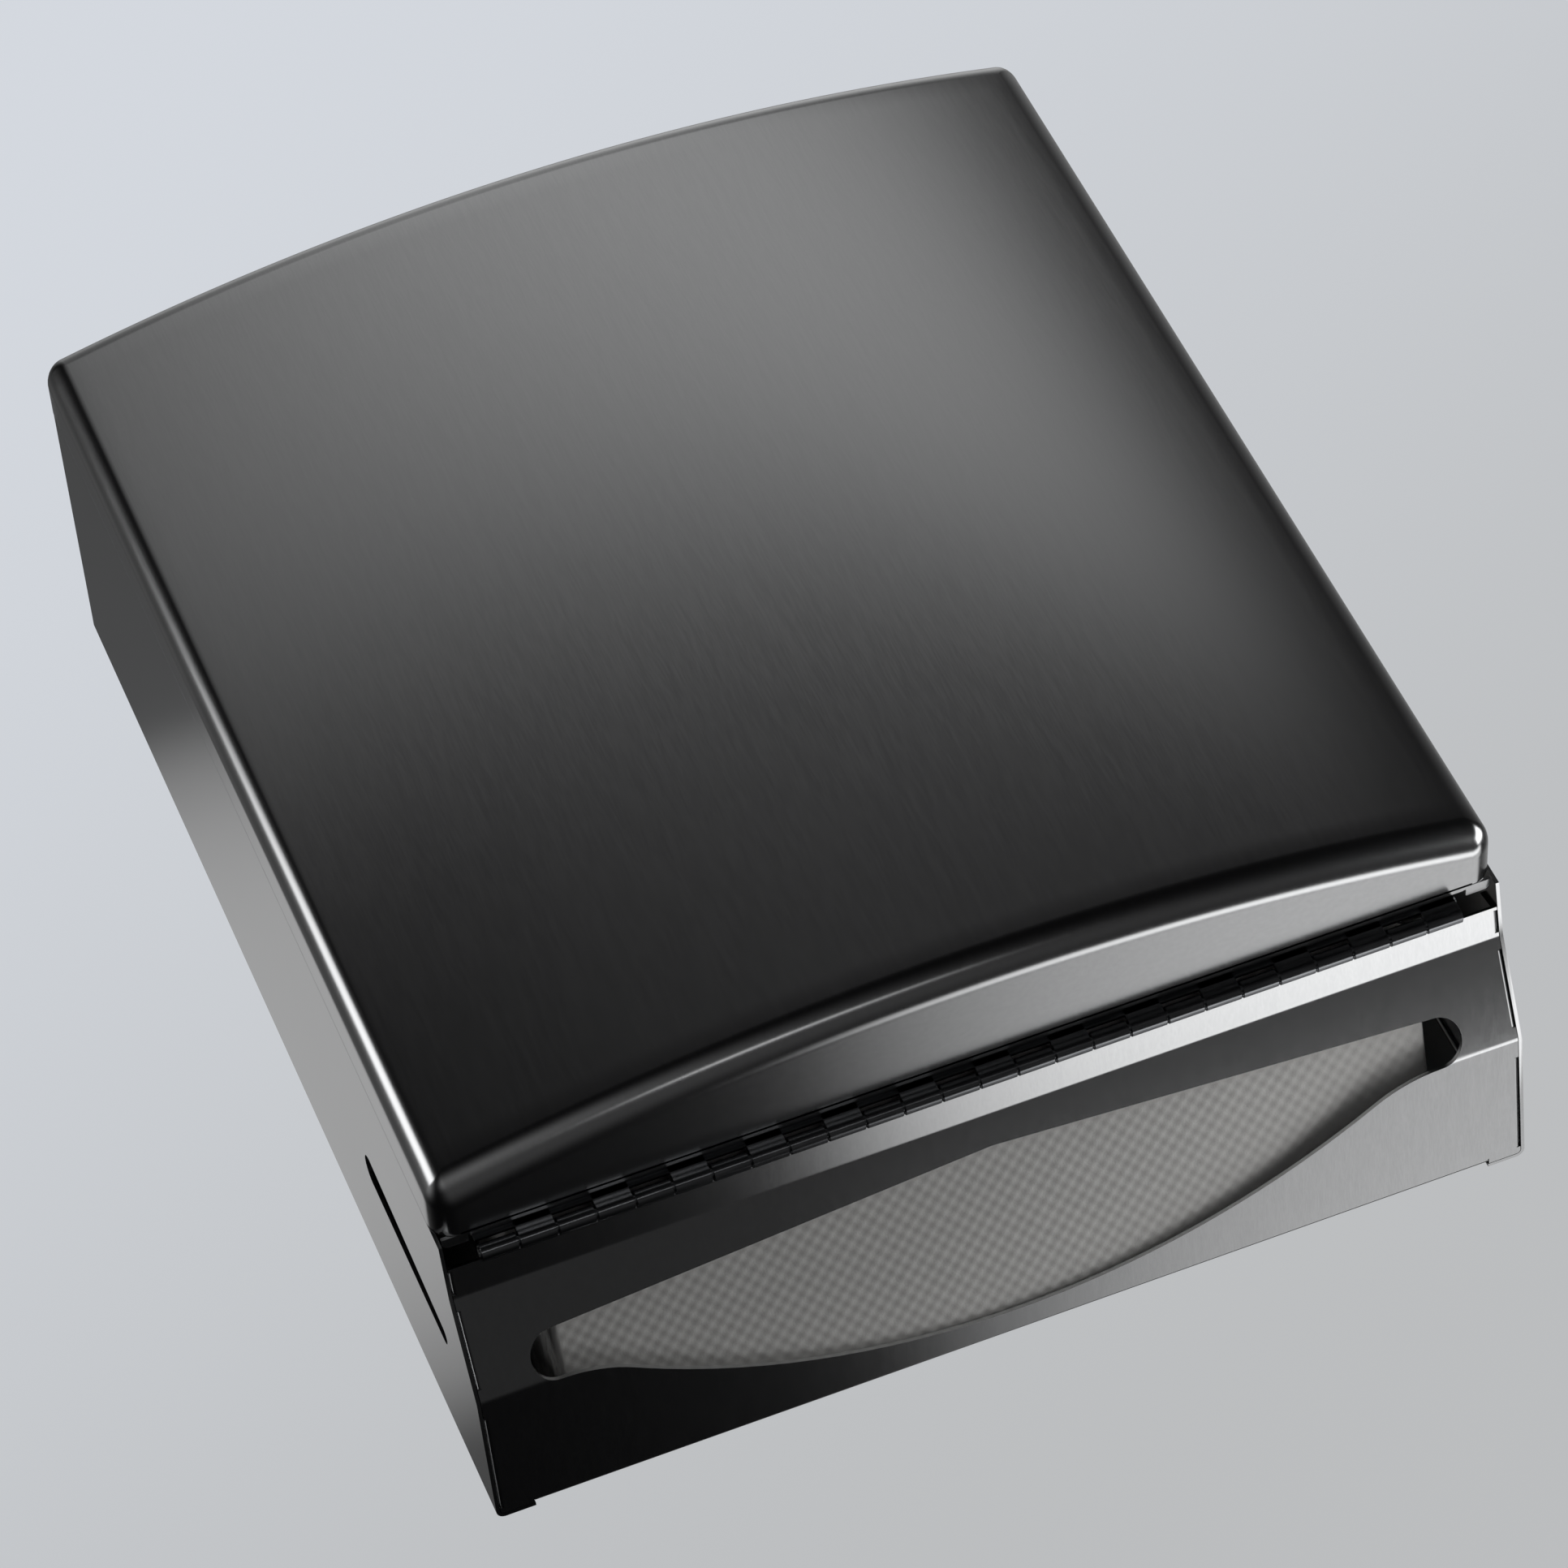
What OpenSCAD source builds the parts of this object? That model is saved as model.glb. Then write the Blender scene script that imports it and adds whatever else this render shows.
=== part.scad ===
// Surface mounted folded paper towel dispenser, stainless steel sheet.
// Millimetres, +Z up, +X to the right seen from the front, the wall is the plane y = 0.
// Inside the modules heights count up from the lowest edge of the cabinet; the module
// placed() then puts the middle of the wall hole pattern at the origin.

/* [Cabinet] */
// Outside width of the cabinet
cabinet_width = 300; // [270:1:340]
// Height of the cabinet top above its lowest edge
cabinet_height = 348; // [320:1:400]
// Depth of the side panels from the wall to their front edge
cabinet_depth = 91.3; // [88:0.1:98]
// Thickness of the steel sheet
sheet = 1.0; // [0.8:0.05:1.2]
// Outside radius of the two vertical folds at the back
back_bend = 2.5; // [2:0.1:4]
// Length of the turned down flanges of the top panel
top_flange = 10; // [8:0.5:11]
// Outside radius of the folds of the top panel
top_bend = 2.0; // [1.6:0.1:3]

/* [Tray] */
// Distance of the tray front edge behind the side panel front edge
tray_setback = 7.8; // [7.4:0.1:9]
// Depth of the narrow front facet
lip_depth = 9.8; // [9.4:0.1:12]
// Depth of the steep middle facet
slope_depth = 28.8; // [26:0.1:31]
// Height of the tray front edge above the lowest edge
tray_front_z = 20.5; // [20:0.1:22]
// Height of the front crease
front_crease_z = 18.5; // [17:0.1:19]
// Height of the rear crease
rear_crease_z = 4.8; // [3:0.1:6.5]
// Radius of the two creases along the middle of the sheet
crease_radius = 4.0; // [3:0.1:5]
// Outside radius of the turned up side and rear flanges
flange_bend = 1.5; // [1.3:0.1:2]
// Height of the turned up side flanges
flange_height = 9; // [6:0.5:12]
// Depth of the ears left in front of the front crease
ear_front = 1.2; // [1:0.1:2]
// Depth of the ears left on the middle facet at both creases
ear_middle = 3.6; // [2.5:0.1:4.5]
// Depth of the ears left behind the rear crease
ear_rear = 6.5; // [4:0.1:8]
// Distance from the wall to the front of the ears in the rear corners
ear_corner = 3.5; // [3.2:0.1:5]
// Gap between the ears and the cabinet sheet around them
ear_gap = 0.2; // [0.15:0.05:0.4]
// Height of the rear flange turned up in front of the back panel
rear_flange = 12; // [8:0.5:20]
// Distance of the rear flange ends from the side panels
rear_flange_inset = 10; // [8:0.5:20]
// Height that the back panel is cut away below the tray, between the rear corners
back_rise = 2.0; // [1:0.1:3]
// Depth of the front band that reaches the side panels
front_band = 1.0; // [0.8:0.1:2]
// Width of the relief cuts between the ears and the side flanges
relief = 0.3; // [0.2:0.05:0.5]

/* [Dispensing slot] */
// Distance of the centres of the two round slot ends from the cabinet sides
slot_inset = 23.8; // [20:0.1:28]
// Radius of the round slot ends
slot_end_radius = 7.1; // [6.5:0.1:8]
// Distance of the round slot ends from the wall
slot_end_depth = 51.05; // [49:0.05:53]
// Forward rise of the straight slot edge towards its middle
slot_peak = 7.0; // [4:0.1:9]
// Radius of the two counter curves between the slot ends and the belly
counter_radius = 38.4; // [25:0.1:50]
// Distance of the belly from the wall at its middle
belly_depth = 9.5; // [8:0.1:10.5]

/* [Refill slots] */
// Height of the lower end of the slot in each side panel
refill_bottom = 27.5; // [26:0.5:40]
// Height of the upper end of the slot in each side panel
refill_top = 92; // [70:0.5:130]
// Width of the slot at its lower end
refill_narrow = 6.0; // [5:0.1:8]
// Width of the slot at its upper end
refill_wide = 10.0; // [8.2:0.1:12]
// Distance of the upright rear edge of the slot from the wall
refill_rear = 41.5; // [36:0.5:48]

/* [Wall holes] */
// Rise of the middle of the hole pattern above half the cabinet height
mount_rise = 6; // [0:0.5:10]
// Distance of the hole columns from the cabinet sides
hole_side_inset = 48.4; // [30:0.1:60]
// Distance of the hole rows from the ends of the cabinet height, before the rise
hole_end_inset = 47; // [40:0.1:60]
// Diameter of the wall holes
hole_diameter = 5.5; // [4:0.1:7]

/* [Door] */
// Height of the underside of the door
door_bottom = 24.0; // [23.8:0.1:24.6]
// Rise of the door above the cabinet top
door_rise = 7; // [6:0.1:9]
// Depth of the door from its rear edge to its side corners
door_side_depth = 17.3; // [15:0.1:20]
// Forward bulge of the door front over its width
crown = 17.5; // [14:0.1:22]
// Radius of the pressed edges at the top and bottom of the front
edge_radius = 8.4; // [6:0.1:10]
// Radius of the pressed edges at the sides of the front
side_radius = 6.5; // [5:0.1:8]
// Radius of the four door corners seen from the front
corner_radius = 7.0; // [5:0.1:9]
// Gap between the closed door and the cabinet front edges
door_gap = 0.3; // [0.3:0.05:0.6]
// Gap between the tongue of the door underside and the side panels
tongue_gap = 0.5; // [0.4:0.05:1]
// Radius of the tongue corners
tongue_corner = 2.0; // [1:0.1:2.5]
// Height of the flange that carries the door leaf of the hinge
hinge_flange = 9; // [8:0.5:12]

/* [Piano hinge] */
// Number of knuckles, half of them on each leaf
knuckle_count = 26; // [20:2:30]
// Mean distance of the hinge ends from the cabinet sides
hinge_inset = 10.95; // [9:0.05:13]
// Sideways offset of the welded hinge from the middle
hinge_shift = -0.95; // [-1.2:0.05:1.2]
// Radius of the barrel
barrel_radius = 2.4; // [2.3:0.05:2.5]
// Thickness of the two leaves
leaf = 0.8; // [0.7:0.05:0.85]
// Radius of the pin
pin_radius = 1.5; // [1.3:0.05:1.55]
// Play around the pin
pin_play = 0.05; // [0.02:0.01:0.08]
// Gap between neighbouring knuckles
knuckle_gap = 0.5; // [0.3:0.05:0.6]
// Clearance between the barrel and the front edge of the tray
barrel_clearance = 0.15; // [0.1:0.05:0.5]
// Clearance of each leaf around the knuckles of the other leaf
leaf_clearance = 0.4; // [0.3:0.05:0.6]
// Length of the cabinet leaf on the tray
tray_leaf = 8.2; // [6:0.1:9]
// Height of the door leaf above the pin
door_leaf_height = 11.5; // [9:0.1:12.5]

/* [Lock] */
// Distance of the lock axis in front of the cabinet front edge
lock_forward = 15.7; // [15.4:0.1:18]
// Radius of the threaded lock barrel
lock_radius = 9.5; // [8.5:0.1:10]
// Length of the lock barrel below the door top
lock_length = 15; // [14:0.5:17]
// Radius of the lock head
lock_head_radius = 11.5; // [10.5:0.1:13]
// Height of the lock head
lock_head = 2.2; // [1.5:0.1:3]
// Radius of the turning plug
plug_radius = 5.5; // [5:0.1:5.8]
// Play around the plug
plug_play = 0.05; // [0.02:0.01:0.08]
// Half distance between the two flats on the lock barrel
lock_flat = 8.2; // [7.6:0.1:8.4]
// Thickness of the hook cam
cam_sheet = 2.5; // [2:0.1:3]
// Inner radius of the hook finger
finger_inner = 12; // [11.5:0.1:12.4]
// Outer radius of the hook finger
finger_outer = 15; // [14.5:0.1:15.1]
// Thickness of the keeper sheet
keeper_sheet = 1.5; // [1.2:0.1:1.8]
// Clearance between the plug and the keeper tab
keeper_clearance = 1.0; // [0.6:0.1:1.5]
// Half width of the keeper tab
keeper_half = 4; // [3:0.1:5]

/* [Towels] */
// Length of the folded towels
towel_length = 250; // [230:1:260]
// Height of the top of the stack above the lowest edge
towel_top = 200; // [120:1:320]
// Space between the towels and the sheet they lie on
towel_gap = 0.3; // [0.2:0.05:0.5]
// Distance of the stack from the back panel
towel_back = 3.0; // [2:0.1:6]

/* [Hidden] */
$fn = 64;
half_w = cabinet_width / 2;
inner_half = half_w - sheet;
mount_height = cabinet_height / 2 + mount_rise;
hole_spacing_x = cabinet_width - 2 * hole_side_inset;
hole_spacing_z = cabinet_height - 2 * hole_end_inset;
front_y = -cabinet_depth;
back_inner_y = -sheet;

function unit(a) = [cos(a), sin(a)];
function normal(a) = [-sin(a), cos(a)];
function angle_of(a, b) = atan2(b[1] - a[1], b[0] - a[0]);
function span(a, b) = norm(b - a);

// Outside face of the tray from the front edge to the back panel, as depth and height.
tray_front = [front_y + tray_setback, tray_front_z];
crease_a = [tray_front[0] + lip_depth, front_crease_z];
crease_b = [crease_a[0] + slope_depth, rear_crease_z];
tray_wall = [0, 0];
angle_a = angle_of(tray_front, crease_a);
angle_b = angle_of(crease_a, crease_b);
angle_c = angle_of(crease_b, tray_wall);
rear_flange_half = inner_half - rear_flange_inset;
rear_fold = flange_bend - sheet / 2;
tray_rear = [back_inner_y, sheet * tan(-angle_c)];
length_a = span(tray_front, crease_a);
length_b = span(crease_a, crease_b);
length_c = span(crease_b, tray_rear);

// Rear slot edge: belly circle, then a counter curve tangent to the belly and the slot ends.
slot_end_x = half_w - slot_inset;
end_bottom_y = slot_end_radius - slot_end_depth;
belly_sag = -belly_depth - end_bottom_y;
belly_radius = (slot_end_x * slot_end_x + belly_sag * belly_sag) / (2 * belly_sag)
    - counter_radius;
belly_y = -belly_depth - belly_radius;
counter_y = end_bottom_y + counter_radius;
tangent_share = belly_radius / (belly_radius + counter_radius);
tangent_x = slot_end_x * tangent_share;
tangent_y = belly_y + (counter_y - belly_y) * tangent_share;

// Door.
door_rear_y = front_y - door_gap;
door_corner_y = door_rear_y - door_side_depth;
crown_y = door_corner_y - crown;
crown_radius = (half_w * half_w + crown * crown) / (2 * crown);
crown_axis_y = crown_y + crown_radius;
door_top = cabinet_height + door_rise;

// Hinge pin: the barrel top is level with the face of the cabinet leaf.
pin_s = -(barrel_radius + barrel_clearance);
pin_n = sheet + leaf - barrel_radius;
pin_yz = tray_front + pin_s * unit(angle_a) + pin_n * normal(angle_a);
hinge_length = cabinet_width - 2 * hinge_inset;
knuckle_pitch = hinge_length / knuckle_count;
flange_y = pin_yz[0] - barrel_radius;
flange_fold = 2 * sheet;
hinge_left = hinge_shift - hinge_length / 2;
door_flange_half = hinge_length / 2 + 1.3;
relief_half = 3 * relief;

// Lock.
lock_y = front_y - lock_forward;
lock_end_z = door_top - lock_length;
cam_top_z = lock_end_z - 3.5;
cam_bottom_z = cam_top_z - cam_sheet;
tab_front_y = lock_y + plug_radius + keeper_clearance;
tab_top_z = lock_end_z - 1.0;
keeper_leg_y = front_y + sheet;
keeper_arm_z = cam_bottom_z - 7.0;
plug_face_z = door_top + lock_head - 0.3;
cam_washer_sheet = 0.6;
square_half = 3.0;

module placed() {
    translate([0, 0, -mount_height])
        children();
}

// A profile drawn as depth and height, carried along X about the middle.
module along_x(width) {
    rotate([90, 0, 90])
        linear_extrude(height = width, center = true)
            children();
}

// A profile drawn as X and height, carried along Y from y0 to y1.
module along_y(y0, y1) {
    translate([0, y1, 0])
        rotate([90, 0, 0])
            linear_extrude(height = y1 - y0)
                children();
}

module on_facet(start, angle) {
    translate([0, start[0], start[1]])
        rotate([angle, 0, 0])
            children();
}

// Slot of the side panels, drawn as depth and height: it widens towards the top.
module refill_slot() {
    low_r = refill_narrow / 2;
    high_r = refill_wide / 2;
    low = [-refill_rear - low_r, refill_bottom + low_r];
    high = [-refill_rear - high_r, refill_top - high_r];
    lean = 180 - 2 * atan2(high_r - low_r, high[1] - low[1]);
    inset = 0.01;
    translate(low)
        circle(r = low_r);
    translate(high)
        circle(r = high_r);
    polygon([
        low,
        [-refill_rear - inset, low[1]],
        [-refill_rear - inset, high[1]],
        high,
        high + (high_r - inset) * unit(lean),
        low + (low_r - inset) * unit(lean)
    ]);
}

// Plan of the folded back and sides, filled.
module back_plan(half, back, radius) {
    translate([-half, front_y - 5])
        square([2 * half, -front_y + 5 + back - radius]);
    translate([radius - half, front_y - 5])
        square([2 * (half - radius), -front_y + 5 + back]);
    for (s = [-1, 1])
        translate([s * (half - radius), back - radius])
            circle(r = radius);
}

module wall_holes() {
    for (sx = [-1, 1], sz = [-1, 1])
        translate([sx * hole_spacing_x / 2, 5, mount_height + sz * hole_spacing_z / 2])
            rotate([90, 0, 0])
                cylinder(d = hole_diameter, h = 20);
}

module cabinet_shell() {
    color([0.62, 0.63, 0.64])
    placed()
    difference() {
        linear_extrude(height = cabinet_height)
            difference() {
                back_plan(half_w, 0, back_bend);
                back_plan(inner_half, back_inner_y, back_bend - sheet);
            }
        translate([-half_w - 5, front_y - 10, -5])
            cube([cabinet_width + 10, 10, cabinet_height + 10]);
        along_x(cabinet_width + 10)
            polygon([
                [front_y - 20, tray_front[1] - tan(angle_a) * (tray_setback + 20)],
                tray_front,
                crease_a,
                crease_b,
                tray_wall,
                [0, -20],
                [front_y - 20, -20]
            ]);
        translate([-half_w - 5, 0, 0])
            rotate([90, 0, 90])
                linear_extrude(height = cabinet_width + 10)
                    refill_slot();
        translate([-rear_flange_half, back_inner_y - 0.2, -5])
            cube([2 * rear_flange_half, 5, 5 + back_rise]);
        wall_holes();
    }
}

module folded_top(half, front, back, high, low, radius) {
    intersection() {
        along_x(2 * half) {
            translate([front, low])
                square([back - front, high - low - radius]);
            translate([front + radius, low])
                square([back - front - 2 * radius, high - low]);
            translate([front + radius, high - radius])
                circle(r = radius);
            translate([back - radius, high - radius])
                circle(r = radius);
        }
        along_y(front - 1, back + 1) {
            translate([-half, low - 1])
                square([2 * half, high - low + 1 - radius]);
            translate([radius - half, low - 1])
                square([2 * (half - radius), high - low + 1]);
            for (s = [-1, 1])
                translate([s * (half - radius), high - radius])
                    circle(r = radius);
        }
    }
}

module top_panel() {
    notch = top_bend + 1;
    color([0.6, 0.61, 0.62])
    placed()
    difference() {
        folded_top(inner_half, front_y, back_inner_y, cabinet_height,
            cabinet_height - top_flange, top_bend);
        folded_top(inner_half - sheet, front_y + sheet, back_inner_y - sheet,
            cabinet_height - sheet, cabinet_height - top_flange - 5, top_bend - sheet);
        for (s = [-1, 1], y = [front_y, back_inner_y])
            translate([s * inner_half - notch, y - notch, cabinet_height - top_flange - 5])
                cube([2 * notch, 2 * notch, top_flange + 5 - top_bend]);
        for (s = [-1, 1])
            translate([s * 5.5, front_y - 5, cabinet_height - 5.5])
                rotate([-90, 0, 0])
                    cylinder(r = 1.6, h = 10);
    }
}

// Middle line of the tray sheet with its folds, each sample as point and direction.
function mid_corner(p, a1, a2) = p + (sheet / 2) / cos((a2 - a1) / 2) * normal((a1 + a2) / 2);
function fold_samples(p, a1, a2, r, n) =
    let (side = a2 > a1 ? 1 : -1,
        start = mid_corner(p, a1, a2) - r * tan(abs(a2 - a1) / 2) * unit(a1),
        centre = start + side * r * normal(a1))
    [for (i = [0:n]) let (a = a1 + (a2 - a1) * i / n) [centre - side * r * normal(a), a]];

rear_samples = fold_samples(tray_rear, angle_c, 90, rear_fold, 8);
tray_samples = concat(
    [[tray_front + sheet / 2 * normal(angle_a), angle_a]],
    fold_samples(crease_a, angle_a, angle_b, crease_radius, 3),
    fold_samples(crease_b, angle_b, angle_c, crease_radius, 3),
    rear_samples,
    [[[back_inner_y - sheet / 2, tray_rear[1] + rear_flange], 90]]);
tray_below = [for (i = [0:len(tray_samples) - len(rear_samples) - 2])
    tray_samples[i][0] - sheet / 2 * normal(tray_samples[i][1])];
tray_above = [for (i = [len(tray_samples) - 1:-1:0])
    tray_samples[i][0] + sheet / 2 * normal(tray_samples[i][1])];
rear_below = [for (s = rear_samples) s[0] - sheet / 2 * normal(s[1])];
rear_last = len(rear_below) - 1;
rear_start = rear_below[0];
rear_lead = 2 * rear_start - rear_below[1];
rear_exit = 2 * rear_below[rear_last] - rear_below[rear_last - 1];

// Profile of the tray with its rear fold left full to the corner.
module tray_profile() {
    polygon(concat(tray_below, [tray_rear, [back_inner_y, tray_rear[1] + rear_flange]],
        tray_above));
}

// Space under the rounding of the rear fold.
module rear_rounding() {
    polygon(concat([rear_lead], [for (i = [1:rear_last - 1]) rear_below[i]], [
        rear_exit,
        [back_inner_y + 3, rear_exit[1]],
        [back_inner_y + 3, -5],
        [rear_lead[0], -5]
    ]));
}

// Space above the flat rear corners.
module above_corner() {
    polygon([
        rear_start + sheet * normal(angle_c),
        tray_rear + sheet * normal(angle_c) + 3 * unit(angle_c),
        [back_inner_y + 3, 60],
        [rear_start[0] + sheet * normal(angle_c)[0], 60]
    ]);
}

module slot_plan() {
    for (s = [-1, 1])
        translate([s * slot_end_x, -slot_end_depth])
            circle(r = slot_end_radius);
    difference() {
        polygon([
            [-slot_end_x, -slot_end_depth - slot_end_radius],
            [0, -slot_end_depth - slot_end_radius - slot_peak],
            [slot_end_x, -slot_end_depth - slot_end_radius],
            [slot_end_x, end_bottom_y],
            [tangent_x, tangent_y],
            [-tangent_x, tangent_y],
            [-slot_end_x, end_bottom_y]
        ]);
        for (s = [-1, 1])
            translate([s * slot_end_x, counter_y])
                circle(r = counter_radius, $fn = 180);
    }
    intersection() {
        translate([0, belly_y])
            circle(r = belly_radius, $fn = 360);
        translate([-tangent_x, tangent_y - 2])
            square([2 * tangent_x, 40]);
    }
}

// Fold and upstand of a side flange, drawn as X and distance above the outside face.
// It is lifted a hundredth of a millimetre and laps the sheet a little, to fuse well.
module flange_plan() {
    translate([0, 0.01])
        flange_section();
}

module flange_section() {
    intersection() {
        translate([inner_half - flange_bend, flange_bend])
            difference() {
                circle(r = flange_bend);
                circle(r = flange_bend - sheet);
            }
        translate([inner_half - flange_bend, 0])
            square([flange_bend, flange_bend]);
    }
    translate([inner_half - sheet, flange_bend])
        square([sheet, flange_height - flange_bend]);
}

module side_flange(start, angle, s0, s1) {
    for (m = [0, 1])
        mirror([m, 0, 0])
            on_facet(start, angle)
                translate([0, s1, 0])
                    rotate([90, 0, 0])
                        linear_extrude(height = s1 - s0)
                            flange_plan();
}

module bottom_tray() {
    flat_half = inner_half - flange_bend + 0.2;
    ear_half = inner_half - ear_gap;
    corner_r = back_bend - sheet - ear_gap;
    corner_end = back_inner_y - ear_gap;
    slit = rear_flange_half + relief / 2;
    corner_width = half_w - slit;
    reach = ear_middle / cos(angle_b);
    cuts = [
        [tray_front[0] + front_band, crease_a[0] - ear_front],
        [crease_a[0] + ear_middle, crease_b[0] - ear_middle],
        [crease_b[0] + ear_rear, -ear_corner]
    ];
    color([0.64, 0.65, 0.66])
    placed() {
        difference() {
            along_x(2 * ear_half)
                tray_profile();
            for (s = [-1, 1], c = cuts)
                translate([s > 0 ? flat_half : -half_w, c[0], -5])
                    cube([half_w - flat_half, c[1] - c[0], 60]);
            translate([0, 0, -5])
                linear_extrude(height = 60)
                    slot_plan();
            along_x(2 * slit)
                rear_rounding();
            for (s = [-1, 1]) {
                translate([s * (slit + corner_width / 2), 0, 0])
                    along_x(corner_width)
                        above_corner();
                translate([s > 0 ? rear_flange_half : -rear_flange_half - relief,
                        rear_start[0] - relief, -5])
                    cube([relief, 10, 60]);
                translate([s > 0 ? slit : -half_w, corner_end, -5])
                    cube([corner_width, 10, 60]);
                translate([s * (ear_half - corner_r), corner_end - corner_r, -5])
                    linear_extrude(height = 60)
                        difference() {
                            translate([s > 0 ? 0 : -5, 0])
                                square([5, 5]);
                            circle(r = corner_r);
                        }
            }
        }
        side_flange(tray_front, angle_a, front_band + relief, length_a - ear_front - relief);
        side_flange(crease_a, angle_b, reach + relief, length_b - reach - relief);
        side_flange(crease_b, angle_c, ear_rear + relief,
            length_c - ear_corner + sheet - relief);
    }
}

module pin_line(radius, x0, x1) {
    translate([x0, pin_yz[0], pin_yz[1]])
        rotate([0, 90, 0])
            cylinder(r = radius, h = x1 - x0);
}

// First knuckle of a leaf, then every second one.
module each_knuckle(first) {
    for (i = [first:2:knuckle_count - 1])
        translate([hinge_left + i * knuckle_pitch + knuckle_gap / 2, 0, 0])
            children();
}

module hinge_cabinet_leaf() {
    knuckle = knuckle_pitch - knuckle_gap;
    reach = tray_leaf - pin_s;
    color([0.5, 0.51, 0.53])
    placed()
    difference() {
        union() {
            on_facet(tray_front, angle_a)
                translate([hinge_left, 0.2, sheet])
                    cube([hinge_length, tray_leaf - 0.2, leaf]);
            each_knuckle(0) {
                pin_line(barrel_radius, 0, knuckle);
                on_facet(tray_front, angle_a)
                    translate([0, pin_s, sheet])
                        cube([knuckle, reach, leaf]);
            }
        }
        pin_line(pin_radius + pin_play, -hinge_length, hinge_length);
    }
}

module hinge_door_leaf() {
    knuckle = knuckle_pitch - knuckle_gap;
    lift = barrel_radius + leaf_clearance;
    color([0.5, 0.51, 0.53])
    placed()
    difference() {
        union() {
            translate([hinge_left, flange_y, pin_yz[1] + lift])
                cube([hinge_length, leaf, door_leaf_height - lift]);
            each_knuckle(1) {
                pin_line(barrel_radius, 0, knuckle);
                translate([0, flange_y, pin_yz[1]])
                    cube([knuckle, leaf, door_leaf_height]);
            }
        }
        pin_line(pin_radius + pin_play, -hinge_length, hinge_length);
    }
}

module hinge_pin() {
    color([0.45, 0.46, 0.48])
    placed()
        pin_line(pin_radius, hinge_left, hinge_left + hinge_length);
}

module keeper_bracket() {
    leg_half = 9;
    arm = keeper_sheet;
    color([0.55, 0.56, 0.58])
    placed()
    difference() {
        union() {
            translate([-leg_half, keeper_leg_y, keeper_arm_z])
                cube([2 * leg_half, arm, cabinet_height - sheet - 1 - keeper_arm_z]);
            translate([-keeper_half, tab_front_y, keeper_arm_z])
                cube([2 * keeper_half, keeper_leg_y + arm - tab_front_y, arm]);
            translate([-keeper_half, tab_front_y, keeper_arm_z])
                cube([2 * keeper_half, arm, tab_top_z - keeper_arm_z]);
        }
        for (s = [-1, 1])
            translate([s * 5.5, front_y - 5, cabinet_height - 5.5])
                rotate([-90, 0, 0])
                    cylinder(r = 1.6, h = 12);
    }
}

// Two low headed rivets through the front flange of the top panel and the keeper.
module keeper_rivets() {
    grip = sheet + keeper_sheet;
    color([0.7, 0.71, 0.72])
    placed()
    for (s = [-1, 1])
        translate([s * 5.5, front_y, cabinet_height - 5.5])
            rotate([-90, 0, 0]) {
                translate([0, 0, -0.2])
                    cylinder(r = 1.6, h = grip + 1.0);
                translate([0, 0, grip])
                    cylinder(r = 2.8, h = 0.9);
            }
}

module towel_stack() {
    under = sheet + towel_gap;
    lift_b = under * normal(angle_b);
    lift_c = under * normal(angle_c);
    start = crease_a + (under + leaf) * normal(angle_a);
    color([0.86, 0.85, 0.82])
    placed()
    along_x(towel_length)
        polygon([
            start + 7 * unit(angle_a + 180),
            start + 0.5 * unit(angle_a + 180),
            crease_a + 3 * unit(angle_b) + lift_b,
            crease_b + 2 * unit(angle_b + 180) + lift_b,
            crease_b + under * normal((angle_b + angle_c) / 2),
            crease_b + 2 * unit(angle_c) + lift_c,
            crease_b + (length_c - towel_back - sheet) * unit(angle_c) + lift_c,
            [back_inner_y - towel_back, tray_rear[1] + under + 2],
            [back_inner_y - towel_back, towel_top],
            [start[0] - 7, towel_top],
            [start[0] - 7, tray_front[1] + under + leaf + 2]
        ]);
}

// Solid inside the door skin, inset by the given amount on the five closed faces.
module door_form(inset) {
    r_edge = edge_radius - inset;
    r_side = side_radius - inset;
    r_corner = corner_radius - inset;
    half = half_w - inset;
    low = door_bottom + inset;
    high = door_top - inset;
    outer = crown_radius - inset;
    deep = crown + door_side_depth + 20;
    side_y = crown_axis_y - sqrt(pow(outer - r_side, 2) - pow(half - r_side, 2));
    lean = atan2(side_y - crown_axis_y, half - r_side);
    difference() {
        intersection() {
            translate([0, crown_axis_y, 0])
                rotate([0, 0, 250])
                    rotate_extrude(angle = 40, $fn = 720) {
                        translate([outer - deep, low])
                            square([deep - r_edge, high - low]);
                        translate([outer - deep, low + r_edge])
                            square([deep, high - low - 2 * r_edge]);
                        for (z = [low + r_edge, high - r_edge])
                            translate([outer - r_edge, z])
                                circle(r = r_edge, $fn = 64);
                    }
            translate([-half, crown_y - 5, low - 1])
                cube([2 * half, deep + 40, high - low + 2]);
        }
        for (m = [0, 1])
            mirror([m, 0, 0])
                translate([0, 0, low - 2])
                    linear_extrude(height = high - low + 4)
                        translate([half - r_side, side_y])
                            difference() {
                                polygon([
                                    [0, 0],
                                    [r_side + 8, 0],
                                    [r_side + 8, -r_side - 12],
                                    (r_side + 14) * unit(lean)
                                ]);
                                circle(r = r_side);
                            }
        for (m = [0, 1], z = [low, high])
            mirror([m, 0, 0])
                translate([0, crown_y - 10, 0])
                    rotate([-90, 0, 0])
                        linear_extrude(height = deep + 60)
                            translate([half - r_corner, z > low ? r_corner - z : -r_corner - z])
                                difference() {
                                    translate([0, z > low ? -r_corner - 3 : 0])
                                        square([r_corner + 3, r_corner + 3]);
                                    circle(r = r_corner);
                                }
    }
}

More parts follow.
